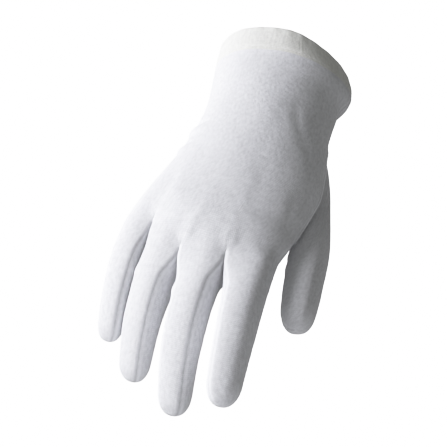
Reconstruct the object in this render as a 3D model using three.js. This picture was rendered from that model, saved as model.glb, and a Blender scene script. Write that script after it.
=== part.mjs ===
// A white knitted cotton work glove for a right hand, in the form that it has when it is worn: the fingers
// hang down and bend a little, the thumb hangs beside them and the wrist stands open at the top. It is sewn
// from cut pieces: a back, a palm, a strip between each two fingers, a thumb and a folded wrist hem.
//
// Millimetres. The origin is the middle of the wrist opening, where the hand goes in. +Z runs up the
// forearm, +X is the thumb side, and the back of the hand faces -Y.
import * as THREE from "three";
import { mergeGeometries, mergeVertices } from "three/addons/utils/BufferGeometryUtils.js";

const { clamp, degToRad, lerp, radToDeg, smoothstep } = THREE.MathUtils;

// Cloth and seams
const CLOTH = 1.2; // one layer of knitted cotton
const HEM_LAYERS = 2; // the wrist hem is the cloth folded over once
const HEM_DEPTH = 15; // height of the hem
const SEAM_GAP = 0.3; // between two pieces along a seam
const SEAM_ANGLE = 42; // degrees from a finger's side to the seam of its side strip

// Hand
const PALM_LENGTH = 131; // wrist opening to the middle finger's knuckle
const HAND_WIDTH = 82;
const HAND_DEPTH = 38;
const CUFF_LEAN = 5; // degrees that the forearm end leans to the thumb side, below its level opening
const LEVEL_LENGTH = 45; // the sections turn from level to square with the hand over this length
const WRIST_TURN = 10; // degrees that the hand turns back to the little-finger side
const TURN_SPAN = { from: 0.19, to: 0.69 }; // shares of the palm length over which it turns
const SQUARENESS = 2.4; // of a section: 2 is an ellipse, more is boxier

// Sections of the hand. at: share of the palm length. littleSide, thumbSide: half widths as shares of the
// hand width. back, palm: heights as shares of the hand depth.
const SECTIONS = [
  { at: 0.0, littleSide: 0.505, thumbSide: 0.475, back: 0.78, palm: 0.74 },
  { at: 0.07, littleSide: 0.497, thumbSide: 0.49, back: 0.73, palm: 0.72 },
  { at: 0.14, littleSide: 0.488, thumbSide: 0.49, back: 0.67, palm: 0.68 },
  { at: 0.23, littleSide: 0.478, thumbSide: 0.475, back: 0.61, palm: 0.6 },
  { at: 0.34, littleSide: 0.468, thumbSide: 0.455, back: 0.55, palm: 0.52 },
  { at: 0.46, littleSide: 0.466, thumbSide: 0.46, back: 0.51, palm: 0.5 },
  { at: 0.57, littleSide: 0.474, thumbSide: 0.51, back: 0.48, palm: 0.52 },
  { at: 0.69, littleSide: 0.484, thumbSide: 0.565, back: 0.46, palm: 0.54 },
  { at: 0.8, littleSide: 0.505, thumbSide: 0.56, back: 0.43, palm: 0.5 },
  { at: 0.92, littleSide: 0.53, thumbSide: 0.575, back: 0.39, palm: 0.46 },
  { at: 1.1, littleSide: 0.54, thumbSide: 0.465, back: 0.34, palm: 0.42 },
];

// Fingers, from the little one to the first. knuckle: share of the palm length. across, rise: place of the
// knuckle's centre, as shares of the hand's width and depth. spread, roll, bend, curl: degrees. length,
// width, depth: mm.
const FINGERS = [
  {
    knuckle: 0.94, across: -0.455, rise: -0.01,
    spread: -2, roll: 14, bend: 11, curl: 31.5, length: 87, width: 16.5, depth: 14.5,
  },
  {
    knuckle: 0.975, across: -0.197, rise: 0.07,
    spread: -8, roll: 18, bend: 18.5, curl: 29.5, length: 100, width: 20.5, depth: 19.5,
  },
  {
    knuckle: 1, across: 0.078, rise: 0.08,
    spread: -0.5, roll: 15, bend: 12.5, curl: 33, length: 108.5, width: 22.2, depth: 20,
  },
  {
    knuckle: 1, across: 0.327, rise: -0.03,
    spread: 11, roll: 0, bend: 2, curl: 21, length: 98.5, width: 23, depth: 20.5,
  },
];

// Where a finger bends at its knuckle, as shares of its depth, and where it curls, as shares of its length.
const BEND_SPAN = { from: -0.6, to: 0.7 };
const CURL_SPAN = { from: 0.15, to: 0.95 };

// Ends of the hand at the outer sides of the little and first fingers, and of the three webs between the
// fingers, on the back and on the palm, as shares of the palm length.
const LITTLE_SIDE_END = 1.1;
const FIRST_SIDE_END = 1.14;
const WEBS = [
  { back: LITTLE_SIDE_END, palm: LITTLE_SIDE_END },
  { back: 1.09, palm: 1.15 },
  { back: 1.18, palm: 1.24 },
  { back: 1.16, palm: 1.24 },
  { back: FIRST_SIDE_END, palm: FIRST_SIDE_END },
];
const WEB_REACH = 17; // past the web, two fingers' sides are drawn together for this far
const KNUCKLE_LENGTH = 27; // the hand parts into fingers over this length, up to the webs

// Thumb, in the same terms as a finger. Its knuckle is at the wrist, inside the heel of the hand.
const THUMB = {
  knuckle: 0.5, across: 0.445, rise: -0.475,
  spread: 10.5, roll: -18, bend: -1, curl: -1, length: 109.5, width: 21, depth: 27,
};
// Opening that the thumb is sewn into. from, to: shares of the palm length. width: degrees round the hand.
const THUMB_OPENING = { from: 0.46, to: 0.98, width: 54 };
// The side seam between back and palm leaves the side of the wrist at this share of the palm length, and
// beside the thumb it runs this many degrees to the palm.
const SIDE_SEAM_TURN = 0.2;
const SIDE_SEAM_DROP = 11;
const THUMB_BLEND = 0.5; // share of the way from its seam to the tip where the thumb comes to its round form

// Girth along a finger and along the thumb. at: share of its length. girth: share of its width and depth.
const FINGER_GIRTH = [
  { at: -0.5, girth: 1.08 },
  { at: 0, girth: 1.04 },
  { at: 0.22, girth: 0.98 },
  { at: 0.45, girth: 1.0 },
  { at: 0.7, girth: 0.95 },
  { at: 0.9, girth: 0.88 },
  { at: 1, girth: 0.86 },
];
const THUMB_GIRTH = [
  { at: 0, girth: 0.9 },
  { at: 0.2, girth: 0.96 },
  { at: 0.45, girth: 1.02 },
  { at: 0.75, girth: 0.95 },
  { at: 0.9, girth: 0.89 },
  { at: 1, girth: 0.86 },
];
const TIP_LENGTH = 0.62; // rounded end of a finger, as a share of its width
const TIP_BLUNTNESS = 2.3; // 2 is a round tip, more is blunter

// Facets
const COLUMNS = 5; // across the back or the palm of one finger
const SIDE_COLUMNS = 4; // across a side strip
const WRIST_ROWS = 4; // hem to the thumb opening
const OPENING_ROWS = 9; // along the thumb opening
const KNUCKLE_ROWS = 3; // thumb opening to the webs
const FINGER_ROWS = 9; // web to the rounded tip
const TIP_ROWS = 5;
const THUMB_ROWS = 9;
const HEM_ROWS = 2;
const STEP = 1; // along a centreline
const LINE_SPARE = 5 * STEP; // that a centreline runs on past its ends

// A value from a table, on a smooth curve through its rows.
function fromTable(rows, column, at) {
  const last = rows.length - 1;
  if (at <= rows[0].at) return rows[0][column];
  if (at >= rows[last].at) return rows[last][column];
  const i = rows.findIndex((row) => row.at > at) - 1;
  const span = rows[i + 1].at - rows[i].at;
  const slope = (j) => {
    const before = rows[Math.max(j - 1, 0)];
    const after = rows[Math.min(j + 1, last)];
    return (span * (after[column] - before[column])) / (after.at - before.at);
  };
  const x = (at - rows[i].at) / span;
  const rise = x * x * (3 - 2 * x);
  const ease = x * (1 - x) * (slope(i) * (1 - x) - slope(i + 1) * x);
  return lerp(rows[i][column], rows[i + 1][column], rise) + ease;
}

// A frame on a centreline: T runs towards the fingertips, U to the thumb side, N out of the back.
const WRIST = {
  origin: new THREE.Vector3(0, 0, 0),
  T: new THREE.Vector3(0, 0, -1),
  U: new THREE.Vector3(1, 0, 0),
  N: new THREE.Vector3(0, -1, 0),
};

const sum = (a, ka, b, kb) => a.clone().multiplyScalar(ka).addScaledVector(b, kb);

// The frame turned sideways by spread, about its own line by roll, and towards the palm by bend, in degrees.
function turned({ origin, T, U, N }, spread, roll, bend) {
  const [s, r, b] = [spread, roll, bend].map(degToRad);
  const T1 = sum(T, Math.cos(s), U, Math.sin(s));
  const U1 = sum(U, Math.cos(s), T, -Math.sin(s));
  const U2 = sum(U1, Math.cos(r), N, Math.sin(r));
  const N2 = sum(N, Math.cos(r), U1, -Math.sin(r));
  const T2 = sum(T1, Math.cos(b), N2, -Math.sin(b));
  return { origin, T: T2, U: U2, N: sum(N2, Math.cos(b), T1, Math.sin(b)) };
}

// Frames at every step of a centreline from one distance to another. frameAt(s) gives each frame's
// directions, and the line passes through the start's origin at distance 0.
function centreline(start, frameAt, from, to) {
  const frames = [];
  const place = new THREE.Vector3();
  for (let s = from; s <= to; s += STEP) {
    const frame = frameAt(s);
    const before = frames[frames.length - 1] ?? frame;
    if (frames.length) place.addScaledVector(before.T, STEP / 2).addScaledVector(frame.T, STEP / 2);
    frames.push({ ...frame, origin: place.clone() });
  }
  const shift = start.origin.clone().sub(frames[Math.round(-from / STEP)].origin);
  frames.forEach((frame) => frame.origin.add(shift));
  return { frames, from };
}

// The frame at distance s along a centreline.
function frameOn({ frames, from }, s) {
  const x = clamp((s - from) / STEP, 0, frames.length - 1.001);
  const i = Math.floor(x);
  const between = (name) => frames[i][name].clone().lerp(frames[i + 1][name], x - i);
  return { origin: between("origin"), T: between("T"), U: between("U"), N: between("N") };
}

// The hand's own line. Its first section is level, so that the wrist opening lies flat.
const HAND_LINE = centreline(
  WRIST,
  (t) => {
    const turn = WRIST_TURN * smoothstep(t, TURN_SPAN.from * PALM_LENGTH, TURN_SPAN.to * PALM_LENGTH);
    const section = turned(WRIST, CUFF_LEAN * smoothstep(t, 0, LEVEL_LENGTH) - turn, 0, 0);
    return { ...section, T: turned(WRIST, CUFF_LEAN - turn, 0, 0).T };
  },
  -LINE_SPARE,
  Math.max(...WEBS.flatMap(({ back, palm }) => [back, palm])) * PALM_LENGTH + LINE_SPARE,
);

// A finger's centreline runs back into the hand from its knuckle, bends there and curls on to the tip.
function fingerLine(finger) {
  const hand = frameOn(HAND_LINE, finger.knuckle * PALM_LENGTH);
  const origin = hand.origin
    .addScaledVector(hand.U, finger.across * HAND_WIDTH)
    .addScaledVector(hand.N, finger.rise * HAND_DEPTH);
  const start = { ...hand, origin };
  const frameAt = (s) => {
    const bend = finger.bend * smoothstep(s, BEND_SPAN.from * finger.depth, BEND_SPAN.to * finger.depth);
    const curl = finger.curl * smoothstep(s, CURL_SPAN.from * finger.length, CURL_SPAN.to * finger.length);
    return turned(start, finger.spread, finger.roll, bend + curl);
  };
  return centreline(start, frameAt, -Math.ceil(finger.knuckle * PALM_LENGTH), finger.length + LINE_SPARE);
}

const FINGER_LINES = FINGERS.map(fingerLine);
const THUMB_LINE = fingerLine(THUMB);

// A rounded box: angle 0 faces the thumb side, 90 the back and 180 the little-finger side.
function oval(frame, angle, across, rise) {
  const a = degToRad(angle);
  const power = 2 / SQUARENESS;
  const u = across * Math.sign(Math.cos(a)) * Math.abs(Math.cos(a)) ** power;
  const n = rise * Math.sign(Math.sin(a)) * Math.abs(Math.sin(a)) ** power;
  return frame.origin.clone().addScaledVector(frame.U, u).addScaledVector(frame.N, n);
}

// A point of the hand's outside, t below the wrist opening.
function handPoint(t, angle) {
  const at = t / PALM_LENGTH;
  const across = fromTable(SECTIONS, Math.cos(degToRad(angle)) > 0 ? "thumbSide" : "littleSide", at);
  const rise = fromTable(SECTIONS, Math.sin(degToRad(angle)) > 0 ? "back" : "palm", at);
  return oval(frameOn(HAND_LINE, t), angle, across * HAND_WIDTH, rise * HAND_DEPTH);
}

// A point of a finger's outside, s past its knuckle. It closes to a point at the tip.
function fingerPoint(finger, line, girths, s, angle) {
  const tip = TIP_LENGTH * finger.width;
  const past = clamp((s - finger.length + tip) / tip, 0, 1);
  const closing = (1 - past ** TIP_BLUNTNESS) ** (1 / TIP_BLUNTNESS);
  const girth = closing * fromTable(girths, "girth", s / finger.length);
  return oval(frameOn(line, s), angle, (girth * finger.width) / 2, (girth * finger.depth) / 2);
}

// Distance along a finger for a share of its rows from a start to the tip. The last rows are even round it.
function rowAt(finger, start, share, shaftRows) {
  const tip = TIP_LENGTH * finger.width;
  const row = share * (shaftRows + TIP_ROWS);
  if (row <= shaftRows) return lerp(start, finger.length - tip, row / shaftRows);
  return finger.length - tip + tip * Math.sin(((row - shaftRows) / TIP_ROWS) * (Math.PI / 2));
}

const knuckleOf = (i) => FINGERS[i].knuckle * PALM_LENGTH;

// A point of finger i by itself, t below the wrist opening.
function looseFinger(i, t, angle) {
  return fingerPoint(FINGERS[i], FINGER_LINES[i], FINGER_GIRTH, t - knuckleOf(i), angle);
}

// t of a share of finger i's rows, from its start at the web to its tip.
function fingerAt(i, start, share) {
  return knuckleOf(i) + rowAt(FINGERS[i], start - knuckleOf(i), share, FINGER_ROWS);
}

// Where a web ends, seen at an angle on the thumb side of the finger before it: SEAM_ANGLE is the back.
function webEnd(web, angle) {
  const share = clamp((SEAM_ANGLE - angle) / (2 * SEAM_ANGLE), 0, 1);
  return PALM_LENGTH * lerp(WEBS[web].back, WEBS[web].palm, share);
}

// A point of finger i with its sides drawn to its neighbours' at the webs, t below the wrist opening.
function sewnFinger(i, t, angle) {
  const loose = looseFinger(i, t, angle);
  const point = loose.clone();
  const draw = (web, first, second, onThumbSide) => {
    const side = onThumbSide ? angle : 180 - angle;
    const turn = side > 180 ? side - 360 : side;
    const anchor = clamp(turn, -SEAM_ANGLE, SEAM_ANGLE);
    const own = looseFinger(i, t, onThumbSide ? anchor : 180 - anchor);
    const joint = looseFinger(first, t, anchor).lerp(looseFinger(second, t, 180 - anchor), 0.5);
    const end = webEnd(web, anchor);
    const near = 1 - smoothstep(t, end, end + WEB_REACH);
    const beside = 1 - smoothstep(Math.abs(turn) - SEAM_ANGLE, 0, 90 - SEAM_ANGLE);
    point.addScaledVector(joint.sub(own), near * beside);
  };
  if (i < FINGERS.length - 1) draw(i + 1, i, i + 1, true);
  if (i > 0) draw(i, i - 1, i, false);
  return point;
}

// Angle on the hand's section where the back parts between two fingers, from their places across the hand.
function partingAngle(web) {
  if (web === 0) return 180;
  const across = (FINGERS[web - 1].across + FINGERS[web].across) / 2;
  const half = SECTIONS.at(-1)[across > 0 ? "thumbSide" : "littleSide"];
  const x = Math.sign(across) * Math.abs(across / half) ** (SQUARENESS / 2);
  return radToDeg(Math.acos(x));
}

// Angle from the side, towards the panel's own middle, of the panel's edge beside the thumb: the back
// (side 1) reaches round to the palm, and the palm (side -1) leaves the opening free.
function thumbEdge(side, t) {
  const { from, to, width } = THUMB_OPENING;
  const share = clamp((t / PALM_LENGTH - from) / (to - from), 0, 1);
  const drop = SIDE_SEAM_DROP * smoothstep(t, SIDE_SEAM_TURN * PALM_LENGTH, from * PALM_LENGTH);
  const back = drop * (1 - smoothstep(t, to * PALM_LENGTH, FIRST_SIDE_END * PALM_LENGTH));
  return side > 0 ? -back : back + width * Math.sin(Math.PI * share);
}

// Seam angles of a finger's back piece. The two outer sides have no strip, so their seam is at the side.
const seamOnLittleSide = (i) => (i === 0 ? 180 : 180 - SEAM_ANGLE);
const seamOnThumbSide = (i) => (i === FINGERS.length - 1 ? 0 : SEAM_ANGLE);

// Last t of the hand before finger i stands alone, at a share across it.
function handEnd(side, i, across) {
  const end = (web) => PALM_LENGTH * (side > 0 ? WEBS[web].back : WEBS[web].palm);
  return lerp(end(i), end(i + 1), across);
}

// A point of the back (side 1) or the palm (side -1), at a share across finger i. down runs from 0 at the
// hem to 1 at the webs, and on to 2 at the fingertip.
function panelPoint(side, i, across, down) {
  const end = handEnd(side, i, across);
  const angle = side * lerp(seamOnLittleSide(i), seamOnThumbSide(i), across);
  if (down > 1) return sewnFinger(i, fingerAt(i, end, down - 1), angle);
  const t = lerp(HEM_DEPTH, end, down);
  const last = i === FINGERS.length - 1;
  const edge = last ? thumbEdge(side, t) : partingAngle(i + 1);
  const hand = handPoint(t, side * lerp(partingAngle(i), edge, across));
  return hand.lerp(sewnFinger(i, t, angle), smoothstep(t, end - KNUCKLE_LENGTH, end));
}

// Evenly spaced numbers.
const steps = (from, to, count) => Array.from({ length: count + 1 }, (_, k) => lerp(from, to, k / count));

// Shares down the hand, with a row at each end of the thumb opening.
const downAt = (share) => (share * PALM_LENGTH - HEM_DEPTH) / (FIRST_SIDE_END * PALM_LENGTH - HEM_DEPTH);
const openingRows = steps(downAt(THUMB_OPENING.from), downAt(THUMB_OPENING.to), OPENING_ROWS);
const handRows = [
  ...steps(0, openingRows[0], WRIST_ROWS).slice(0, -1),
  ...openingRows,
  ...steps(openingRows[OPENING_ROWS], 1, KNUCKLE_ROWS).slice(1),
];

const fingerRows = steps(0, 1, FINGER_ROWS + TIP_ROWS);
const thumbRows = steps(0, 1, THUMB_ROWS + TIP_ROWS);
const shares = steps(0, 1, COLUMNS);

// An open surface from rows of points, its outside on the side that rows x columns points to.
function gridSheet(rows) {
  const columns = rows[0].length;
  const position = new THREE.Float32BufferAttribute(rows.flat().flatMap((p) => [p.x, p.y, p.z]), 3);
  const index = [];
  for (let r = 0; r + 1 < rows.length; r++) {
    for (let c = 0; c + 1 < columns; c++) {
      const a = r * columns + c;
      const b = a + columns;
      index.push(a, b, b + 1, a, b + 1, a + 1);
    }
  }
  return new THREE.BufferGeometry().setAttribute("position", position).setIndex(index);
}

// Sheets joined where their edges meet, without the flat triangles that a closed tip leaves.
function joined(sheets) {
  const sheet = mergeVertices(mergeGeometries(sheets), 1e-3);
  const index = [];
  for (let k = 0; k < sheet.index.count; k += 3) {
    const [a, b, c] = [0, 1, 2].map((j) => sheet.index.getX(k + j));
    if (a !== b && b !== c && c !== a) index.push(a, b, c);
  }
  return sheet.setIndex(index);
}

function panelSheet(side) {
  const facing = (points) => (side > 0 ? points : points.reverse());
  const sheets = FINGERS.flatMap((_, i) => {
    const row = (down) => facing(shares.map((across) => panelPoint(side, i, across, down)));
    return [gridSheet(handRows.map(row)), gridSheet(fingerRows.map((r) => row(1 + r)))];
  });
  return joined(sheets);
}

// A strip from the tip of one finger, down to the web and up the next finger to its tip.
function stripSheet(web) {
  const angles = steps(SEAM_ANGLE, -SEAM_ANGLE, SIDE_COLUMNS);
  const row = (i, share, mirrored) =>
    angles.map((angle) => {
      const t = fingerAt(i, webEnd(web, angle), share);
      return sewnFinger(i, t, mirrored ? 180 - angle : angle);
    });
  const before = fingerRows.toReversed().map((share) => row(web - 1, share, false));
  const after = fingerRows.slice(1).map((share) => row(web, share, true));
  return joined([gridSheet([...before, ...after].reverse())]);
}

// The loop of the thumb seam: down the back's edge of the opening and up the palm's. Each point has its
// angle round the thumb, which faces its outer side at the wrist end and the fingers at the web end.
function thumbLoop() {
  const last = FINGERS.length - 1;
  const edge = (side, down) => panelPoint(side, last, 1, down);
  const points = [
    ...openingRows.map((down) => edge(1, down)),
    ...openingRows.slice(1, -1).toReversed().map((down) => edge(-1, down)),
  ];
  return points.map((point, k) => ({ point, angle: (360 * k) / points.length }));
}

// The thumb: from its seam it comes to the round form of a finger.
function thumbSheet() {
  const own = (s, angle) => fingerPoint(THUMB, THUMB_LINE, THUMB_GIRTH, s, angle);
  const root = frameOn(THUMB_LINE, 0);
  const columns = thumbLoop().map(({ point, angle }) => {
    const start = point.clone().sub(root.origin).dot(root.T);
    const offset = point.clone().sub(own(start, angle));
    return thumbRows.map((share) => {
      const s = rowAt(THUMB, start, share, THUMB_ROWS);
      const loose = clamp((s - start) / (THUMB_BLEND * (THUMB.length - start)), 0, 1);
      return own(s, angle).addScaledVector(offset, (1 - loose) ** 2);
    });
  });
  columns.push(columns[0]);
  return joined([gridSheet(columns)]);
}

// The hem: a band with the same columns as the back and the palm, which it meets.
function hemSheet() {
  const bounds = FINGERS.map((_, i) => partingAngle(i));
  bounds.push(0);
  const half = FINGERS.flatMap((_, i) => steps(bounds[i], bounds[i + 1], COLUMNS).slice(0, -1));
  const around = [...half, 0, ...half.toReversed().map((angle) => -angle)];
  const row = (t) => around.map((angle) => handPoint(t, angle));
  return joined([gridSheet(steps(0, HEM_DEPTH, HEM_ROWS).map(row))]);
}

const keyOf = (point) => point.toArray().map((c) => Math.round(c * 1e3)).join();
const pointOf = (sheet, k) => new THREE.Vector3().fromBufferAttribute(sheet.attributes.position, k);

// Outward direction of the whole glove's outside at each point, the same for all the pieces that meet there.
function outwardAt(sheets) {
  const skin = joined(sheets);
  skin.computeVertexNormals();
  const found = new Map();
  for (let k = 0; k < skin.attributes.position.count; k++) {
    found.set(keyOf(pointOf(skin, k)), new THREE.Vector3().fromBufferAttribute(skin.attributes.normal, k));
  }
  return found;
}

// Directed edges that only one triangle has.
function freeEdges(sheet) {
  const edges = new Map();
  for (let k = 0; k < sheet.index.count; k += 3) {
    const corners = [0, 1, 2].map((j) => sheet.index.getX(k + j));
    corners.forEach((a, j) => edges.set(a + ">" + corners[(j + 1) % 3], [a, corners[(j + 1) % 3]]));
  }
  return [...edges.values()].filter(([a, b]) => !edges.has(b + ">" + a));
}

// A closed piece of cloth: the sheet is its outside, drawn back from its seams by half the gap, and its
// inside lies one thickness further in.
function clothPiece(sheet, outward, thickness) {
  const count = sheet.attributes.position.count;
  const points = Array.from({ length: count }, (_, k) => pointOf(sheet, k));
  const normals = points.map((point) => outward.get(keyOf(point)));
  const edges = freeEdges(sheet);
  const inset = points.map(() => new THREE.Vector3());
  edges.forEach(([a, b]) => {
    const along = points[b].clone().sub(points[a]).normalize();
    [a, b].forEach((k) => inset[k].add(normals[k].clone().cross(along).normalize()));
  });
  const outside = points.map((point, k) => {
    const reach = inset[k].length();
    return reach ? point.clone().addScaledVector(inset[k], SEAM_GAP / (reach * reach)) : point;
  });
  const inside = outside.map((point, k) => point.clone().addScaledVector(normals[k], -thickness));
  const index = [];
  for (let k = 0; k < sheet.index.count; k += 3) {
    const [a, b, c] = [0, 1, 2].map((j) => sheet.index.getX(k + j));
    index.push(a, b, c, a + count, c + count, b + count);
  }
  edges.forEach(([a, b]) => {
    // Both pieces at a seam cut the wall along the same diagonal, so that their walls stay parallel.
    const diagonal = keyOf(points[a]) > keyOf(points[b]) ? [b, a + count] : [a, b + count];
    index.push(b, a, diagonal[1], diagonal[0], a + count, b + count);
  });
  const position = new THREE.Float32BufferAttribute([...outside, ...inside].flatMap((p) => p.toArray()), 3);
  return new THREE.BufferGeometry().setAttribute("position", position).setIndex(index);
}

const cotton = () => new THREE.MeshStandardMaterial({ color: 0xf1f1ee, roughness: 0.95, metalness: 0 });

function build() {
  const sheets = {
    back_panel: panelSheet(1),
    palm_panel: panelSheet(-1),
    side_strip_little_ring: stripSheet(1),
    side_strip_ring_middle: stripSheet(2),
    side_strip_middle_first: stripSheet(3),
    thumb: thumbSheet(),
    wrist_hem: hemSheet(),
  };
  const outward = outwardAt(Object.values(sheets));
  const glove = new THREE.Group();
  for (const [name, sheet] of Object.entries(sheets)) {
    const layers = name === "wrist_hem" ? HEM_LAYERS : 1;
    const mesh = new THREE.Mesh(clothPiece(sheet, outward, layers * CLOTH), cotton());
    mesh.name = name;
    glove.add(mesh);
  }
  return glove;
}

export default build();
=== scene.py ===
"""A white knitted cotton work glove in the form that it has on a hand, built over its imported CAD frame.

The glove hangs with its fingers down: the origin is the middle of the wrist opening, +Z runs up the
forearm, +X is the thumb side and the back of the hand faces -Y. Sizes here are in millimetres, as on the
pattern that a glove is cut from, and become metres where a mesh is made."""

import math
from functools import cache
from types import SimpleNamespace

import bpy
import numpy as np
from bpy.props import FloatProperty, FloatVectorProperty, PointerProperty
from mathutils import Matrix, Vector


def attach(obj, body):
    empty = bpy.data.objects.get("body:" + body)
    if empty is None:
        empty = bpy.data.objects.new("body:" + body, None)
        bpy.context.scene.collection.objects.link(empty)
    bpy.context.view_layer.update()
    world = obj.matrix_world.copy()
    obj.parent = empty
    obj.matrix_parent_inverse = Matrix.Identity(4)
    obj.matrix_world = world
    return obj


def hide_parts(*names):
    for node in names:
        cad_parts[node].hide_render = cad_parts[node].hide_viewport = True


bl_info = {
    "name": "Cotton work glove",
    "version": (1, 0, 0),
    "blender": (4, 5, 0),
    "location": "View3D > Sidebar > Glove",
    "description": "Builds a knitted cotton work glove, piece by piece",
    "category": "Add Mesh",
}

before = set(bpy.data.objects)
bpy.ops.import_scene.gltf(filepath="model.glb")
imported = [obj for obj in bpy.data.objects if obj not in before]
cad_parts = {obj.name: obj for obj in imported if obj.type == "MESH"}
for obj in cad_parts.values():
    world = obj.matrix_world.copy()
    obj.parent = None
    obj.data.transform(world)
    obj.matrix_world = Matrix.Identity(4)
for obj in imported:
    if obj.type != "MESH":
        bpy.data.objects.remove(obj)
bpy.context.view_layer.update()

MM = 0.001
SEED = 7

# Cloth
CLOTH = 1.2
PANELS = ("back_panel", "palm_panel")
SIDE_STRIPS = ("side_strip_little_ring", "side_strip_ring_middle", "side_strip_middle_first")
HEM_DEPTH = 15.0
SEAM_ANGLE = 42.0

# Hand
PALM_LENGTH = 131.0
HAND_WIDTH = 82.0
HAND_DEPTH = 38.0
CUFF_LEAN = 5.0
LEVEL_LENGTH = 45.0
WRIST_TURN = 10.0
TURN_SPAN = (0.19, 0.69)
SQUARENESS = 2.12
DIGIT_SQUARENESS = 2.5

# Sections of the hand: share of the palm length, half widths as shares of the hand width, heights as shares
# of the hand depth.
SECTIONS = {
    "at": (0, 0.07, 0.14, 0.23, 0.34, 0.46, 0.57, 0.69, 0.8, 0.92, 1.1),
    "little_side": (0.517, 0.509, 0.498, 0.478, 0.468, 0.466, 0.474, 0.484, 0.505, 0.538, 0.55),
    "thumb_side": (0.483, 0.52, 0.528, 0.472, 0.46, 0.472, 0.52, 0.565, 0.565, 0.56, 0.57),
    "back": (0.87, 0.8, 0.72, 0.68, 0.65, 0.63, 0.6, 0.56, 0.51, 0.45, 0.36),
    "palm": (0.74, 0.72, 0.68, 0.6, 0.52, 0.5, 0.52, 0.53, 0.47, 0.38, 0.34),
    "thumb_square": (1.63, 1.74, 1.93, 1.95, 1.95, 1.93, 1.9, 1.9, 1.93, 2, 2.12),
    "little_square": (2.2, 2.15, 2.1, 2.05, 2, 1.95, 1.92, 1.92, 1.95, 2, 2.12),
}

# Fingers from the little one to the first, and the thumb
DIGIT_SIZES = (
    "knuckle", "across", "rise", "spread", "roll", "bend", "curl", "length", "width", "depth"
)
FINGERS = [
    SimpleNamespace(**dict(zip(DIGIT_SIZES, sizes)))
    for sizes in (
        (0.94, -0.464, -0.01, -2, 14, 11, 31.5, 87, 16.7, 14.5),
        (0.975, -0.199, 0.07, -8, 18, 18.5, 29.5, 100, 20, 19.2),
        (1, 0.074, 0.08, -0.5, 15, 12.5, 33, 108.5, 21.2, 19.5),
        (1, 0.336, -0.03, 10.7, 0, 2, 21, 98.5, 22.4, 20.5),
    )
]
THUMB = SimpleNamespace(
    **dict(zip(DIGIT_SIZES, (0.5, 0.467, -0.475, 10.5, 5, -1, -1, 110.3, 20.6, 23.6)))
)
BEND_SPAN = (-0.6, 0.7)
CURL_SPAN = (0.15, 0.95)

# Ends of the hand at its outer sides and at the webs, as shares of the palm length
LITTLE_SIDE_END = 1.1
FIRST_SIDE_END = 1.14
WEB_ENDS = {
    1: (LITTLE_SIDE_END, 1.09, 1.18, 1.16, FIRST_SIDE_END),
    -1: (LITTLE_SIDE_END, 1.12, 1.2, 1.18, FIRST_SIDE_END),
}
WEB_REACH = 17.0
KNUCKLE_LENGTH = 22.0
SPAN_ROUNDS = 24

# Thumb opening
OPENING_FROM, OPENING_TO, OPENING_WIDTH = 0.46, 0.925, 54.0
SIDE_SEAM_TURN = 0.2
SIDE_SEAM_DROP = 11.0
THUMB_BLEND = 0.38
THUMB_FALL = 3.8
THUMB_CROWDING = 1.15
THUMB_SEAM_START = 5.0
THUMB_SEAM_APART = 8.0

# Girths down a digit, as shares of its width or depth: across, from its middle to its back, and to its palm
# side
FINGER_AT = (-0.5, 0, 0.22, 0.45, 0.6, 0.75, 0.88, 1)
FINGER_GIRTH = (FINGER_AT, (1.06, 1.08, 1.1, 1.02, 0.97, 0.92, 0.86, 0.83))
FIRST_GIRTH = (FINGER_AT, (1.2, 1.22, 1.1, 0.99, 0.94, 0.87, 0.81, 0.78))
RING_PALM_GIRTH = (FINGER_AT, (1.08, 1.25, 1.48, 1.42, 1.14, 0.88, 0.7, 0.6))
BACK_GIRTH = (FINGER_AT, (1.08, 1.04, 0.98, 1, 0.97, 0.92, 0.86, 0.82))
PALM_GIRTH = (FINGER_AT, (1.08, 1.1, 1.14, 1.1, 0.97, 0.84, 0.7, 0.6))
THUMB_GIRTH = ((0, 0.2, 0.45, 0.75, 0.9, 1), (0.66, 0.73, 1.03, 0.98, 0.88, 0.8))
TIP_LENGTH = 0.62
TIP_BLUNTNESS = 2.3

# Rows and columns of the surfaces
COLUMNS = 26
SIDE_COLUMNS = 20
WRIST_ROWS = 44
OPENING_ROWS = 64
KNUCKLE_ROWS = 22
FINGER_ROWS = 84
TIP_ROWS = 18
THUMB_ROWS = 96
EDGE_CROWDING = 0.75
LINE_STEP = 0.5
SHARP_ANGLE = 50.0
PLACES_PER_MM, PLACE_SHIFT = 2e3, 0.137
INSIDE_RELIEF = 0.4

# Seams, in millimetres from the seam
# The welt's mark, a seam gap below zero, and its half width tell the shader where to paint a highlight on the
# welt's crest
WELT_CREST, WELT_WIDTH, WELT_HIGHLIGHT_WIDTH, WELT_FADE = 0.9, 0.6, 0.8, 8.0
WELT_STEADY, WELT_HIGHLIGHT_MARK, NO_SEAM = 0.8, -1.0, 9.0
GATHER_DISTANCE, GATHER_SHARE, GATHER_PITCH, GATHER_DRIFT = 2.6, 0.1, 7.3, 11.0
TIP_FADE = (-7.0, -0.5)

# Webs, in millimetres beside and above them
BUMP_WIDTH, BUMP_ABOVE, BUMP_LENGTH = 3.0, 8.0, 7.0
WEB_FOLD_SLOPE, WEB_FOLD_WIDTH, WEB_FOLD_ABOVE, WEB_FOLD_LENGTH = 0.62, 1.1, 4.0, 6.0
WEB_FADE = (-1.0, 2.0)
SPAN_BEGINS, SPAN_ENDS = (0.0, 8.0), (24.0, 38.0)

# Waves in the cloth: how many, and their shortest and longest
SLACK_WAVES, RIPPLE_WAVES = (14, 16, 42), (18, 5, 11)

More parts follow.
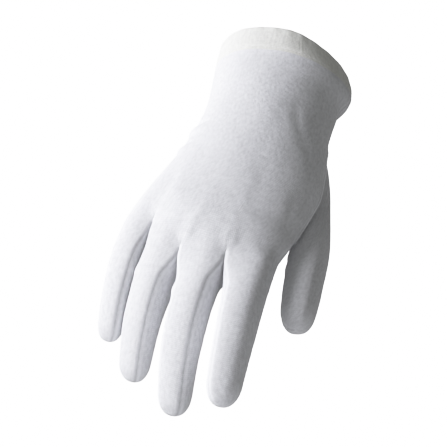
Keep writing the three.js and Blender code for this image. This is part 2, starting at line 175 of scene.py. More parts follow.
# Hem: rows of its outside, rim and inside, then lengths in millimetres
HEM_ROWS = (42, 13, 24)
HEM_OVERLAP, HEM_TAIL, HEM_STEP, HEM_STITCH_WIDTH, HEM_FOLD_FADE = 1.2, 4.0, 1.8, 0.8, 10.0
RIM_WAVE, RIM_WAVE_LENGTH, RIB_PITCH, RIB_DRIFT = 0.12, 9.5, 2.3, 5.0
SLOPE_STEP, SLOPE_TURN = 0.4, 0.6

# One stitch: rows and sides of its thread, its share of the pitch, how it wanders, slants, rises and sinks in
STITCH_ROWS, STITCH_SIDES, STITCH_SHARE = 9, 6, 0.86
STITCH_WANDER, STITCH_SLANT, STITCH_RISE, STITCH_SINK = 0.12, 0.25, 0.6, 0.12

# Tones of the knit, as shares of its colour: worn and fleck vary the yarn's own tone at random, between is
# painted shade between the loops, seam is painted shade in the seams' grooves, ridge and welt are painted
# highlights beside the seams and on the thumb's welt, and strip is painted bounce light on the side strips.
TINTS = SimpleNamespace(worn=0.965, between=0.42, fleck=0.55, ridge=1.06, seam=0.4, welt=1.12, strip=1.07)


def smooth(x, low, high):
    """0 below low, 1 above high, and 3x^2 - 2x^3 between them."""
    x = np.clip((np.asarray(x, float) - low) / (high - low), 0.0, 1.0)
    return x * x * (3.0 - 2.0 * x)


def mixed(a, b, share):
    """a and b, weighted 1 - share and share."""
    return a + (b - a) * share


def from_table(at, values, x):
    """A cubic through the table's rows, whose slope at a row is that of the chord between its neighbours."""
    at, values = np.asarray(at, float), np.asarray(values, float)
    last = len(at) - 1
    before, after = np.maximum(np.arange(last + 1) - 1, 0), np.minimum(np.arange(last + 1) + 1, last)
    slope = (values[after] - values[before]) / (at[after] - at[before])
    x = np.clip(x, at[0], at[-1])
    i = np.clip(np.searchsorted(at, x, side="right") - 1, 0, last - 1)
    span = at[i + 1] - at[i]
    p = (x - at[i]) / span
    ease = p * (1 - p) * span * (slope[i] * (1 - p) - slope[i + 1] * p)
    return mixed(values[i], values[i + 1], p * p * (3 - 2 * p)) + ease


WRIST = (np.array([0.0, 0.0, -1.0]), np.array([1.0, 0.0, 0.0]), np.array([0.0, -1.0, 0.0]))


def turned(axes, spread, roll, bend):
    """The axes T, U, N turned by spread from T to U, then by roll from U to N, then by bend from T to -N."""
    T, U, N = axes
    s, r, b = (np.radians(np.asarray(a, float))[..., None] for a in (spread, roll, bend))
    T1 = T * np.cos(s) + U * np.sin(s)
    U1 = U * np.cos(s) - T * np.sin(s)
    U2 = U1 * np.cos(r) + N * np.sin(r)
    N2 = N * np.cos(r) - U1 * np.sin(r)
    return T1 * np.cos(b) - N2 * np.sin(b), U2, N2 * np.cos(b) + T1 * np.sin(b)


class Line:
    """A centreline: its path is the running sum of its directions, and each place on it has axes T, U, N."""

    def __init__(self, origin, at, axes, path):
        steps = (path[1:] + path[:-1]) / 2 * np.diff(at)[:, None]
        places = np.concatenate([np.zeros((1, 3)), np.cumsum(steps, 0)])
        start = [np.interp(0.0, at, places[:, k]) for k in range(3)]
        self.at = at
        self.values = [places - start + origin, *(np.broadcast_to(a, places.shape) for a in axes)]

    def frame(self, s):
        """Place and axes at distances s, straight between the steps."""
        return [np.stack([np.interp(s, self.at, v[:, k]) for k in range(3)], -1) for v in self.values]


def make_hand_line():
    """The hand's line turns back at the wrist, and its sections come from level to square with it."""
    end = max(max(ends) for ends in WEB_ENDS.values()) * PALM_LENGTH
    at = np.arange(-5, end + 5, LINE_STEP)
    turn = WRIST_TURN * smooth(at, TURN_SPAN[0] * PALM_LENGTH, TURN_SPAN[1] * PALM_LENGTH)
    axes = turned(WRIST, CUFF_LEAN * smooth(at, 0, LEVEL_LENGTH) - turn, 0, 0)
    return Line(np.zeros(3), at, axes, turned(WRIST, CUFF_LEAN - turn, 0, 0)[0])


HAND_LINE = make_hand_line()


def make_digit_line(digit):
    """A digit's line runs back into the hand from its knuckle, bends there and curls on to the tip."""
    place, T, U, N = HAND_LINE.frame(digit.knuckle * PALM_LENGTH)
    origin = place + U * digit.across * HAND_WIDTH + N * digit.rise * HAND_DEPTH
    at = np.arange(-math.ceil(digit.knuckle * PALM_LENGTH), digit.length + 5, LINE_STEP)
    bend = digit.bend * smooth(at, BEND_SPAN[0] * digit.depth, BEND_SPAN[1] * digit.depth)
    curl = digit.curl * smooth(at, CURL_SPAN[0] * digit.length, CURL_SPAN[1] * digit.length)
    axes = turned((T, U, N), digit.spread, digit.roll, bend + curl)
    return Line(origin, at, axes, axes[0])


for digit in (*FINGERS, THUMB):
    digit.line = make_digit_line(digit)
    digit.girths = (FINGER_GIRTH, BACK_GIRTH, PALM_GIRTH)
THUMB.girths = (THUMB_GIRTH,) * 3
FINGERS[-1].girths = (FIRST_GIRTH, BACK_GIRTH, PALM_GIRTH)
FINGERS[1].girths = (FINGER_GIRTH, BACK_GIRTH, RING_PALM_GIRTH)


def oval(line_frame, angle, across, rise, squareness=SQUARENESS):
    """A rounded box: |cos| and |sin| of the angle to the power 2 / squareness, times its half sizes."""
    place, _, U, N = line_frame
    cos, sin = np.cos(np.radians(angle)), np.sin(np.radians(angle))
    power = 2 / squareness
    u = across * np.sign(cos) * np.abs(cos) ** power
    n = rise * np.sign(sin) * np.abs(sin) ** power
    return place + U * u[..., None] + N * n[..., None]


def hand_point(t, angle):
    """The hand's outside, t below the wrist opening, at an angle: 0 thumb side, 90 back. Its half width and
    its squareness pass from the little finger's side to the thumb's round the section."""
    t, angle = np.broadcast_arrays(np.asarray(t, float), np.asarray(angle, float))
    at = t / PALM_LENGTH

    def share(column):
        return from_table(SECTIONS["at"], SECTIONS[column], at)

    cos = np.cos(np.radians(angle))
    across = mixed(share("little_side"), share("thumb_side"), smooth(cos, -0.5, 0.5))
    square = mixed(share("little_square"), share("thumb_square"), smooth(cos, -0.7, 0.7))
    rise = np.where(np.sin(np.radians(angle)) > 0, share("back"), share("palm"))
    return oval(HAND_LINE.frame(t), angle, across * HAND_WIDTH, rise * HAND_DEPTH, square)


def digit_point(digit, s, angle):
    """A digit's outside, s past its knuckle, closing as a superellipse to a point at the tip."""
    s, angle = np.broadcast_arrays(np.asarray(s, float), np.asarray(angle, float))
    tip = TIP_LENGTH * digit.width
    past = np.clip((s - digit.length + tip) / tip, 0, 1)
    closing = (1 - past**TIP_BLUNTNESS) ** (1 / TIP_BLUNTNESS)
    across, back, palm = (closing * from_table(*girth, s / digit.length) for girth in digit.girths)
    rise = np.where(np.sin(np.radians(angle)) > 0, back, palm)
    half_width, half_depth = across * digit.width / 2, rise * digit.depth / 2
    return oval(digit.line.frame(s), angle, half_width, half_depth, DIGIT_SQUARENESS)


def row_at(digit, start, share, rows):
    """Distance along a digit: even steps to the tip's start, then steps that are even round the tip."""
    tip = TIP_LENGTH * digit.width
    row = share * (rows + TIP_ROWS)
    shaft = mixed(start, digit.length - tip, np.minimum(row / rows, 1))
    turn = np.clip((row - rows) / TIP_ROWS, 0, 1) * math.pi / 2
    return np.where(row <= rows, shaft, digit.length - tip + tip * np.sin(turn))


def knuckle_of(i):
    """t of finger i's knuckle."""
    return FINGERS[i].knuckle * PALM_LENGTH


def loose_finger(i, t, angle):
    """Finger i by itself, t below the wrist opening."""
    return digit_point(FINGERS[i], t - knuckle_of(i), angle)


def web_end(web, angle):
    """t of a web's end, at an angle on the thumb side of the finger before it."""
    share = np.clip((SEAM_ANGLE - angle) / (2 * SEAM_ANGLE), 0, 1)
    return PALM_LENGTH * mixed(WEB_ENDS[1][web], WEB_ENDS[-1][web], share)


def sewn_finger(i, t, angle):
    """Finger i with its sides drawn to the middle between it and its neighbours at the webs."""
    t, angle = np.broadcast_arrays(np.asarray(t, float), np.asarray(angle, float))
    point = loose_finger(i, t, angle)
    for web, first, on_thumb_side in ((i + 1, i, True), (i, i - 1, False)):
        if not 0 < web < len(FINGERS):
            continue
        side = angle if on_thumb_side else 180 - angle
        turn = np.where(side > 180, side - 360, side)
        anchor = np.clip(turn, -SEAM_ANGLE, SEAM_ANGLE)
        own = loose_finger(i, t, anchor if on_thumb_side else 180 - anchor)
        joint = (loose_finger(first, t, anchor) + loose_finger(first + 1, t, 180 - anchor)) / 2
        end = web_end(web, anchor)
        near = 1 - smooth((t - end) / WEB_REACH, 0, 1)
        beside = 1 - smooth(np.abs(turn) - SEAM_ANGLE, 0, 90 - SEAM_ANGLE)
        point = point + (joint - own) * (near * beside)[..., None]
    return point


def parting_angle(web):
    """Angle on the hand's section where the back parts between two fingers."""
    if web == 0:
        return 180.0
    across = (FINGERS[web - 1].across + FINGERS[web].across) / 2
    half = SECTIONS["thumb_side" if across > 0 else "little_side"][-1]
    return math.degrees(math.acos(math.copysign(abs(across / half) ** (SQUARENESS / 2), across)))


def thumb_edge(side, t):
    """Angle of a panel's edge beside the thumb: the side seam drops to the palm, the opening is a half
    sine."""
    share = np.clip((t / PALM_LENGTH - OPENING_FROM) / (OPENING_TO - OPENING_FROM), 0, 1)
    drop = SIDE_SEAM_DROP * smooth(t, SIDE_SEAM_TURN * PALM_LENGTH, OPENING_FROM * PALM_LENGTH)
    back = drop * (1 - smooth(t, OPENING_TO * PALM_LENGTH, FIRST_SIDE_END * PALM_LENGTH))
    return -back if side > 0 else back + OPENING_WIDTH * np.sin(math.pi * share)


def crowded(count):
    """Shares from 0 to 1 that are crowded at both ends, where the seams are, as half a cosine is."""
    x = np.linspace(0, 1, count + 1)
    return mixed(x, (1 - np.cos(math.pi * x)) / 2, EDGE_CROWDING)


def down_at(share):
    """Share of the rows of the hand for a share of the palm length, at the thumb's side."""
    return (share * PALM_LENGTH - HEM_DEPTH) / (FIRST_SIDE_END * PALM_LENGTH - HEM_DEPTH)


OPENING = np.linspace(down_at(OPENING_FROM), down_at(OPENING_TO), OPENING_ROWS + 1)
HAND_DOWN = np.concatenate(
    [
        np.linspace(0, OPENING[0], WRIST_ROWS + 1)[:-1],
        OPENING,
        np.linspace(OPENING[-1], 1, KNUCKLE_ROWS + 1)[1:],
    ]
)
FINGER_DOWN = np.linspace(0, 1, FINGER_ROWS + TIP_ROWS + 1)
SHARES = crowded(COLUMNS)


def lengths(points, axis):
    """Running length of a grid of points along its rows or columns."""
    step = np.linalg.norm(np.diff(points, axis=axis), axis=-1)
    start = np.zeros_like(np.take(step, [0], axis))
    return np.concatenate([start, np.cumsum(step, axis)], axis)


def bell(x):
    """exp of minus x squared."""
    return np.exp(-x * x)


def seam_relief(gap, along, welt, looks, ridge=None):
    """Height of the cloth at a distance gap from a seam: a groove on the seam, and beside it a ridge that
    the turned-in seam allowance lifts, as x^2 exp(1 - x^2), which pulls together at every stitch. Where
    welt is 1, the ridge is a narrow bell close to the seam instead, and the stitches hardly show."""
    groove = mixed(looks.seam_groove, looks.welt_groove, welt) * bell(gap / looks.groove_width)
    x = (gap / looks.ridge_distance) ** 2
    height = looks.seam_ridge if ridge is None else ridge
    welt_height = looks.welt_ridge * bell((gap - WELT_CREST) / WELT_WIDTH)
    ridge = mixed(height * x * np.exp(1 - x), welt_height, welt)
    stitch = 1 + looks.pucker * (1 - WELT_STEADY * welt) * np.sin(2 * math.pi * along / looks.stitch_pitch)
    far = (gap / GATHER_DISTANCE) ** 2
    turns = np.sin(2 * math.pi * along / GATHER_PITCH + np.sin(along / GATHER_DRIFT))
    gather = GATHER_SHARE * looks.pucker * far * np.exp(1 - far) * turns
    return ridge * stitch + gather - groove


def web_relief(beside, before, looks):
    """The cloth over a web: a soft bump above it, and two folds that run up from it like a V."""
    bump = looks.web_bump * bell(beside / BUMP_WIDTH) * bell((before - BUMP_ABOVE) / BUMP_LENGTH)
    reach = np.clip(before, 0, None)
    fold = bell((beside - WEB_FOLD_SLOPE * reach) / WEB_FOLD_WIDTH)
    fold = fold * bell((reach - WEB_FOLD_ABOVE) / WEB_FOLD_LENGTH)
    return bump - looks.web_fold * fold


def waves(points, count, shortest, longest, seed):
    """Sum of sines with random directions, lengths and phases, from -1 to 1 and rarely near either."""
    rng = np.random.default_rng(seed)
    direction = rng.normal(size=(count, 3))
    direction /= np.linalg.norm(direction, axis=1)[:, None]
    number = 2 * math.pi / rng.uniform(shortest, longest, count)
    phase = rng.uniform(0, 2 * math.pi, count)
    return np.sin(points @ (direction * number[:, None]).T + phase).mean(-1) * 2


def near_path(points, path):
    """Distance from each point to a path of straight parts, and the share of the path where it is nearest."""
    a, b = path[:-1], path[1:]
    along = b - a
    offset = points[:, None, :] - a
    share = np.clip((offset * along).sum(-1) / (along * along).sum(-1), 0, 1)
    distance = np.linalg.norm(offset - along * share[..., None], axis=-1)
    part = distance.argmin(1)
    row = np.arange(len(points))
    return distance[row, part], (part + share[row, part]) / len(a)


# Folds in the cloth: what they are on (the hand, a finger or the thumb), then angle and distance at both
# ends, width and depth in millimetres. On a digit the distance is a share of its length.
FOLDS = (
    ("hand", 192, 50, 142, 60, 1.6, 0.3),
    ("hand", 196, 65, 134, 71, 1.5, 0.6),
    ("hand", 200, 70, 136, 77, 3.4, -1.1),
    ("hand", 196, 82, 144, 88, 1.4, 0.5),
    ("hand", 200, 87, 144, 93, 3.0, -0.8),
    ("hand", 48, 62, 30, 84, 2.6, 0.35),
    ("hand", 62, 48, 44, 78, 3.0, 0.3),
    ("hand", 34, 100, 26, 128, 3.0, 0.35),
    ("hand", 70, 92, 62, 120, 5.0, 0.15),
    ("hand", 132, 96, 124, 122, 4.0, -0.15),
    ("hand", -30, 52, -95, 58, 2.8, 0.6),
    ("hand", -60, 66, -140, 60, 2.6, 0.5),
    ("hand", -100, 92, -160, 100, 3.2, 0.6),
    ("hand", -75, 118, -140, 124, 3.0, 0.7),
    ("hand", -55, 108, -100, 128, 2.6, 0.5),
    ("hand", -48, 84, -80, 108, 3.4, 0.6),
    (0, -60, 0.36, -125, 0.36, 1.8, 0.6),
    (0, -60, 0.62, -120, 0.63, 1.6, 0.5),
    (1, -55, 0.38, -125, 0.39, 2.0, 0.7),
    (1, -60, 0.43, -120, 0.42, 1.6, 0.4),
    (1, -55, 0.66, -125, 0.65, 1.8, 0.6),
    (2, -55, 0.4, -125, 0.39, 2.0, 0.7),
    (2, -60, 0.35, -115, 0.36, 1.6, 0.4),
    (2, -55, 0.68, -125, 0.67, 1.8, 0.6),
    (3, -50, 0.36, -125, 0.37, 2.0, 0.7),
    (3, -55, 0.41, -120, 0.4, 1.6, 0.4),
    (3, -55, 0.64, -125, 0.65, 1.8, 0.5),
    (3, 140, 0.28, 96, 0.27, 1.1, 0.22),
    (3, 142, 0.34, 100, 0.33, 1.0, 0.18),
    (3, 140, 0.4, 90, 0.4, 1.2, 0.2),
    (3, 150, 0.955, 88, 0.972, 0.8, 0.4),
    (3, 118, 0.93, 96, 0.95, 1.6, -0.25),
    (2, 120, 0.968, 62, 0.972, 0.8, 0.35),
    (2, 160, 0.4, 138, 0.42, 5.0, -0.7),
    (1, 110, 0.955, 55, 0.96, 0.8, 0.3),
    (1, 150, 0.42, 120, 0.43, 4.0, -0.45),
    (0, 110, 0.95, 50, 0.955, 0.7, 0.3),
    (0, 150, 0.42, 120, 0.42, 3.0, -0.3),
    ("thumb", 150, 0.62, 205, 0.6, 2.2, 0.5),
    ("thumb", 140, 0.52, 210, 0.5, 2.4, 0.5),
)
FOLD_PARTS = 8
FOLD_END, FOLD_FADE, FOLD_SWELL = 0.02, 0.7, 0.55


def fold_relief(points, looks):
    """Depth of all the folds: each is a bell across its path, with a low swell beside it, and fades at its
    ends."""
    flat = points.reshape(-1, 3)
    height = np.zeros(len(flat))
    for where, angle_a, at_a, angle_b, at_b, width, depth in FOLDS:
        angle, at = np.linspace(angle_a, angle_b, FOLD_PARTS), np.linspace(at_a, at_b, FOLD_PARTS)
        if where == "hand":
            path = hand_point(at, angle)
        else:
            digit = THUMB if where == "thumb" else FINGERS[where]
            path = digit_point(digit, at * digit.length, angle)
        limit = np.linalg.norm(path[-1] - path[0]) / 2 + 5 * width
        near = np.linalg.norm(flat - path.mean(0), axis=1) < limit
        distance, share = near_path(flat[near], path)
        fade = np.sin(math.pi * np.clip(share, FOLD_END, 1 - FOLD_END)) ** FOLD_FADE
        x = (distance / width) ** 2
        form = FOLD_SWELL * x * np.exp(1 - x / 2) / 2 - np.exp(-x)
        height[near] += looks.fold_depth * depth * fade * form
    slack, ripple = waves(flat, *SLACK_WAVES, SEED), waves(flat, *RIPPLE_WAVES, SEED + 1)
    height += looks.slackness * slack + looks.ripple * ripple
    return height.reshape(points.shape[:-1])


class Sheet:
    """One grid of cloth: its points, its place in the knit in millimetres, the height of its relief,
    whether its outside is the grid's back, and the distance to the nearest seam."""

    def __init__(self, points, knit, relief, flip=False, gap=None):
        self.points, self.knit, self.relief, self.flip = points, knit, relief, flip
        self.gap = np.full(relief.shape, NO_SEAM) if gap is None else gap


def tip_fade(i, t):
    """1 along a finger's seams, and 0 at the very tip, where they all meet."""
    past = t - knuckle_of(i) - FINGERS[i].length
    return 1 - smooth(past, *TIP_FADE)


def panel_sheet(side, i, looks):
    """Finger i's share of the back (side 1) or the palm (side -1), from the hem to the fingertip."""
    end_little, end_thumb = (PALM_LENGTH * WEB_ENDS[side][i + k] for k in (0, 1))
    last = i == len(FINGERS) - 1
    across = SHARES[None, :]
    end = mixed(end_little, end_thumb, across)
    seams = (180 if i == 0 else 180 - SEAM_ANGLE), (0 if last else SEAM_ANGLE)
    angle = side * mixed(*seams, across)
    t_hand = mixed(HEM_DEPTH, end, HAND_DOWN[:, None])
    edge = thumb_edge(side, t_hand) if last else parting_angle(i + 1)
    hand = hand_point(t_hand, side * mixed(parting_angle(i), edge, across))
    share = smooth(t_hand - end, -KNUCKLE_LENGTH, 0)[..., None]
    hand = mixed(hand, sewn_finger(i, t_hand, angle), share)
    t_finger = knuckle_of(i) + row_at(FINGERS[i], end - knuckle_of(i), FINGER_DOWN[1:, None], FINGER_ROWS)
    finger = sewn_finger(i, t_finger, angle)
    points = np.concatenate([hand, finger])
    t = np.concatenate([t_hand, t_finger])

    arc = lengths(points, 1)
    from_little, from_thumb = arc, arc[:, -1:] - arc
    before_little = np.maximum(end_little - t, 0) if i else np.zeros_like(t)
    before_thumb = np.zeros_like(t) if last else np.maximum(end_thumb - t, 0)
    gap_little, gap_thumb = np.hypot(from_little, before_little), np.hypot(from_thumb, before_thumb)
    gap = np.minimum(gap_little, gap_thumb)
    top, bottom = OPENING_FROM * PALM_LENGTH, OPENING_TO * PALM_LENGTH
    opening = smooth(t, top - WELT_FADE, top)
    opening *= 1 - smooth(t, bottom, bottom + WELT_FADE)
    welt = opening * (gap_thumb < gap_little) * last
    relief = seam_relief(gap, t, welt, looks) * tip_fade(i, t)
    if side > 0:
        for web, beside, before in ((i, from_little, end_little - t), (i + 1, from_thumb, end_thumb - t)):
            if 0 < web < len(FINGERS):
                relief += web_relief(beside, before, looks) * smooth(before, *WEB_FADE)

    row = len(HAND_DOWN) - 1
    middle = COLUMNS // 2
    down_finger = lengths(points[row:, middle : middle + 1], 0)
    v = np.concatenate([t[:row], end + down_finger])
    # A seam gap below zero marks the welt's crest, where the shader paints a highlight
    gap_with_welt_highlight = mixed(gap, WELT_HIGHLIGHT_MARK, welt * bell((gap - WELT_CREST) / WELT_HIGHLIGHT_WIDTH))
    return SimpleNamespace(points=points, arc=arc, row=row, v=v, relief=relief, gap=gap_with_welt_highlight, before=end - t)


def span_webs(parts):
    """Fills the valleys between the knuckles in the four grids of a panel, because the cloth spans them
    from finger to finger. Each row is averaged across, most in the middle of the stretch above the webs and
    not at all at them, and neighbouring grids keep the column that they share."""
    row = parts[0].row

    def whole(name):
        grids = [getattr(part, name)[:row] for part in parts]
        return np.concatenate([grid[:, :-1] for grid in grids] + [grids[-1][:, -1:]], 1)

    hand, before = whole("points"), whole("before")
    spanned = hand.copy()
    for _ in range(SPAN_ROUNDS):
        spanned[:, 1:-1] = (spanned[:, :-2] + 2 * spanned[:, 1:-1] + spanned[:, 2:]) / 4
    share = smooth(before, *SPAN_BEGINS) * (1 - smooth(before, *SPAN_ENDS))
    hand = mixed(hand, spanned, share[..., None])
    for i, part in enumerate(parts):
        part.points[:row] = hand[:, i * COLUMNS : (i + 1) * COLUMNS + 1]


def panel_sheets(side, looks):
    """The four fingers' grids of a panel. Across the hand the knit's u is the length from the panel's
    middle, and down each finger from the finger's middle, where it has the value that it has at the web."""
    parts = [panel_sheet(side, i, looks) for i in range(len(FINGERS))]
    span_webs(parts)
    rows = parts[0].row + 1
    width = [part.arc[:rows, -1] for part in parts]
    centre = sum(width) / 2
    sheets, start = [], -centre
    for part, own in zip(parts, width):
        u = np.empty_like(part.arc)
        u[:rows] = part.arc[:rows] + start[:, None]
        middle = part.arc[:, COLUMNS // 2]
        u[rows:] = u[rows - 1, COLUMNS // 2] + part.arc[rows:] - middle[rows:, None]
        start = start + own
        sheets.append(Sheet(part.points, np.stack([u, part.v], -1), part.relief, side < 0, part.gap))
    return sheets


def strip_sheet(web, looks):
    """A side strip: down one finger from its tip, over the web and up the next finger to its tip."""
    angles = mixed(SEAM_ANGLE, -SEAM_ANGLE, crowded(SIDE_COLUMNS))[None, :]

    def rows(i, share, mirrored):
        start = web_end(web, angles) - knuckle_of(i)
        t = knuckle_of(i) + row_at(FINGERS[i], start, share[:, None], FINGER_ROWS)
        return sewn_finger(i, t, 180 - angles if mirrored else angles), t, tip_fade(i, t)

    before = rows(web - 1, FINGER_DOWN[::-1], False)
    after = rows(web, FINGER_DOWN[1:], True)
    points, t, fade = (np.concatenate([a, b]) for a, b in zip(before, after))
    arc = lengths(points, 1)
    gap = np.minimum(arc, arc[:, -1:] - arc)
    relief = seam_relief(gap, t, 0.0, looks, looks.strip_ridge) * fade
    centre = SIDE_COLUMNS // 2
    u = arc - arc[:, centre : centre + 1]
    v = lengths(points[:, centre : centre + 1], 0) + np.zeros_like(u)
    return Sheet(points, np.stack([u, v], -1), relief, True, gap)


def thumb_sheet(looks):
    """The thumb: from the loop of its seam each column comes to the round form of a digit, as 1 - x to the
    power THUMB_FALL, where x is the share of the blend that is behind it. Its own seam runs from the web
    end of the opening to the tip, on the side that faces the fingers."""
    last = len(FINGERS) - 1
    down = OPENING[:, None]

    def edge(side):
        end = FIRST_SIDE_END * PALM_LENGTH
        t = mixed(HEM_DEPTH, end, down)
        hand = hand_point(t, side * thumb_edge(side, t))
        share = smooth(t - end, -KNUCKLE_LENGTH, 0)[..., None]
        return mixed(hand, sewn_finger(last, t, 0.0 * t), share)[:, 0], t[:, 0]

    (back, t_back), (palm, t_palm) = edge(1), edge(-1)
    loop = np.concatenate([back, palm[-2:0:-1]])
    t = np.concatenate([t_back, t_palm[-2:0:-1]])
    angle = 360.0 * np.arange(len(loop)) / len(loop)
    order = (np.arange(len(loop) + 1) + OPENING_ROWS) % len(loop)
    loop, t, angle = loop[order], t[order], angle[order]
    root, T, _, _ = THUMB.line.frame(0.0)
    start = (loop - root) @ T
    offset = loop - digit_point(THUMB, start, angle)
    share = np.linspace(0, 1, THUMB_ROWS + TIP_ROWS + 1)[:, None] ** THUMB_CROWDING
    s = row_at(THUMB, start[None, :], share, THUMB_ROWS)
    loose = np.clip((s - start) / (THUMB_BLEND * (THUMB.length - start)), 0, 1)
    points = digit_point(THUMB, s, angle[None, :]) + offset * ((1 - loose) ** THUMB_FALL)[..., None]

    down = lengths(points, 0)
    arc = lengths(points, 1)
    beside = np.minimum(arc, arc[:, -1:] - arc)
    relief = seam_relief(down, t[None, :] + 0 * down, 0.0, looks, 0.0)
    begun = smooth(down, 0, THUMB_SEAM_START)
    own_seam = seam_relief(beside, down, 0.0, looks) * begun * (1 - smooth(s - THUMB.length, *TIP_FADE))
    u = arc - arc[:, -1:] / 2
    v = lengths(points[:, len(loop) // 2 : len(loop) // 2 + 1], 0) + np.zeros_like(u)
    gap = np.minimum(down, beside + THUMB_SEAM_APART * (1 - begun))
    return Sheet(points, np.stack([u, v], -1), relief + own_seam, True, gap)


def corner_keys(points):
    """One whole number for each place, the same for points that coincide."""
    grid = np.round(points.reshape(-1, 3) * PLACES_PER_MM + PLACE_SHIFT).astype(np.int64)
    _, key = np.unique(grid, axis=0, return_inverse=True)
    return key.reshape(-1)


def grid_faces(shape, flip):
    """Quads of a grid, whose outside is on the side that rows x columns points to, or on the other if
    flip."""
    corner = np.arange(shape[0] * shape[1]).reshape(shape)
    quads = np.stack([corner[:-1, :-1], corner[1:, :-1], corner[1:, 1:], corner[:-1, 1:]], -1).reshape(-1, 4)
    return quads[:, ::-1] if flip else quads


def joined_faces(sheets):
    """Quads of several grids, numbered over all their points."""
    start, found = 0, []
    for sheet in sheets:
        found.append(grid_faces(sheet.relief.shape, sheet.flip) + start)
        start += sheet.relief.size
    return np.concatenate(found)


def outward(sheets):
    """Direction out of the whole glove at each grid point: the sum of the faces round it, weighted by
    area."""
    points = np.concatenate([sheet.points.reshape(-1, 3) for sheet in sheets])
    key = corner_keys(points)
    quads = joined_faces(sheets)
    a, b, c, d = (points[quads[:, k]] for k in range(4))
    normal = np.cross(c - a, d - b)
    total = np.zeros((key.max() + 1, 3))
    for k in range(4):
        np.add.at(total, key[quads[:, k]], normal)
    total /= np.maximum(np.linalg.norm(total, axis=1), 1e-12)[:, None]
    found, start = [], 0
    for sheet in sheets:
        found.append(total[key[start : start + sheet.relief.size]].reshape(sheet.points.shape))
        start += sheet.relief.size
    return found


def make_mesh(name, points, faces, knit, gap):
    """A mesh from corner points, faces of three or four corners, and each corner's knit place and seam
    gap."""
    mesh = bpy.data.meshes.new(name)
    mesh.from_pydata((points * MM).tolist(), [], faces)
    mesh.uv_layers.new(name="knit").uv.foreach_set("vector", knit.astype(np.float32).ravel())
    mesh.attributes.new("seam_gap", "FLOAT", "POINT").data.foreach_set("value", gap.astype(np.float32))
    mesh.polygons.foreach_set("use_smooth", np.ones(len(mesh.polygons), bool))
    mesh.update()
    mesh.set_sharp_from_angle(angle=math.radians(SHARP_ANGLE))
    return mesh


def merged(points, quads):
    """Points without doubles, and the quads over them as lists of three or four corners, with the grid corner
    that each face corner comes from."""
    key = corner_keys(points)
    first = np.full(key.max() + 1, -1)
    first[key[::-1]] = np.arange(len(key))[::-1]
    over = key[quads]
    same = over == np.roll(over, -1, 1)
    whole = ~same.any(1)
    faces, source = over[whole].tolist(), [quads[whole].ravel()]
    for k in range(4):
        rows = same[:, k] & (same.sum(1) == 1)
        keep = [j for j in range(4) if j != k]
        faces += over[rows][:, keep].tolist()
        source.append(quads[rows][:, keep].ravel())
    return first, faces, np.concatenate(source)


def free_edges(faces, count):
    """Directed edges that only one face has."""
    size = np.array([len(face) for face in faces])
    flat = np.concatenate([np.asarray(face) for face in faces])
    start = np.concatenate([[0], np.cumsum(size)[:-1]])
    following = np.arange(len(flat)) + 1
    following[start + size - 1] = start
    a, b = flat, flat[following]
    single = ~np.isin(a * count + b, b * count + a)
    return a[single], b[single]


def cloth_mesh(name, sheets, normals):
    """A closed piece of cloth: the outside with its relief, the inside one cloth further in, and a wall
    between them along each free edge."""
    base = np.concatenate([sheet.points.reshape(-1, 3) for sheet in sheets])
    normal = np.concatenate([n.reshape(-1, 3) for n in normals])
    relief = np.concatenate([sheet.relief.ravel() for sheet in sheets])
    knit = np.concatenate([sheet.knit.reshape(-1, 2) for sheet in sheets])
    gap = np.concatenate([sheet.gap.ravel() for sheet in sheets])
    first, faces, source = merged(base, joined_faces(sheets))
    outside = (base + normal * relief[:, None])[first]
    inside = (base + normal * (INSIDE_RELIEF * relief - CLOTH)[:, None])[first]
    count = len(first)
    a, b = free_edges(faces, count)
    inner = [[corner + count for corner in reversed(face)] for face in faces]
    walls = np.stack([b, a, a + count, b + count], 1)
    ends = np.cumsum([len(face) for face in faces])
    flipped = np.concatenate([source[e - len(f) : e][::-1] for e, f in zip(ends, faces)])
    wall_source = np.stack([first[b], first[a], first[a], first[b]], 1).ravel()
    corners = np.concatenate([source, flipped, wall_source])
    return make_mesh(
        name,
        np.concatenate([outside, inside]),
        faces + inner + walls.tolist(),
        knit[corners],
        np.concatenate([gap[first], gap[first]]),
    )


def show(name, mesh, material):
    """An object for a mesh, which rides on the glove's one body."""
    piece = bpy.data.objects.new(name, mesh)
    bpy.context.scene.collection.objects.link(piece)
    mesh.materials.append(material)
    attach(piece, "root")
    return piece


def show_cloth(node, mesh, material):
    """A piece of cloth, which stands for its CAD node."""
    piece = show(node + "_cloth", mesh, material)
    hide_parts(node)


class Value:
    """A number in a shader. Python's operators on it add Math nodes."""

    def __init__(self, shader, socket):
        self.shader, self.socket = shader, socket

    def math(self, operation, *others):
        values = {k: value for k, value in enumerate((self, *others))}
        return self.shader.value("ShaderNodeMath", {"operation": operation}, values)

    def __add__(self, other):
        return self.math("ADD", other)

    def __mul__(self, other):
        return self.math("MULTIPLY", other)

    def __sub__(self, other):
        return self.math("SUBTRACT", other)

    def __rsub__(self, other):
        return self * -1 + other

    def __truediv__(self, other):
        return self.math("DIVIDE", other)

    def __pow__(self, other):
        return self.math("POWER", other)

    def __abs__(self):
        return self.math("ABSOLUTE")

    __radd__, __rmul__ = __add__, __mul__

    def sine(self):
        return self.math("SINE")

    def fraction(self):
        return self.math("FRACT")

    def step(self, low, high):
        """0 below low and 1 above high, smoothly."""
        settings = {"interpolation_type": "SMOOTHSTEP"}
        return self.shader.value("ShaderNodeMapRange", settings, {0: self, 1: low, 2: high, 3: 0, 4: 1})


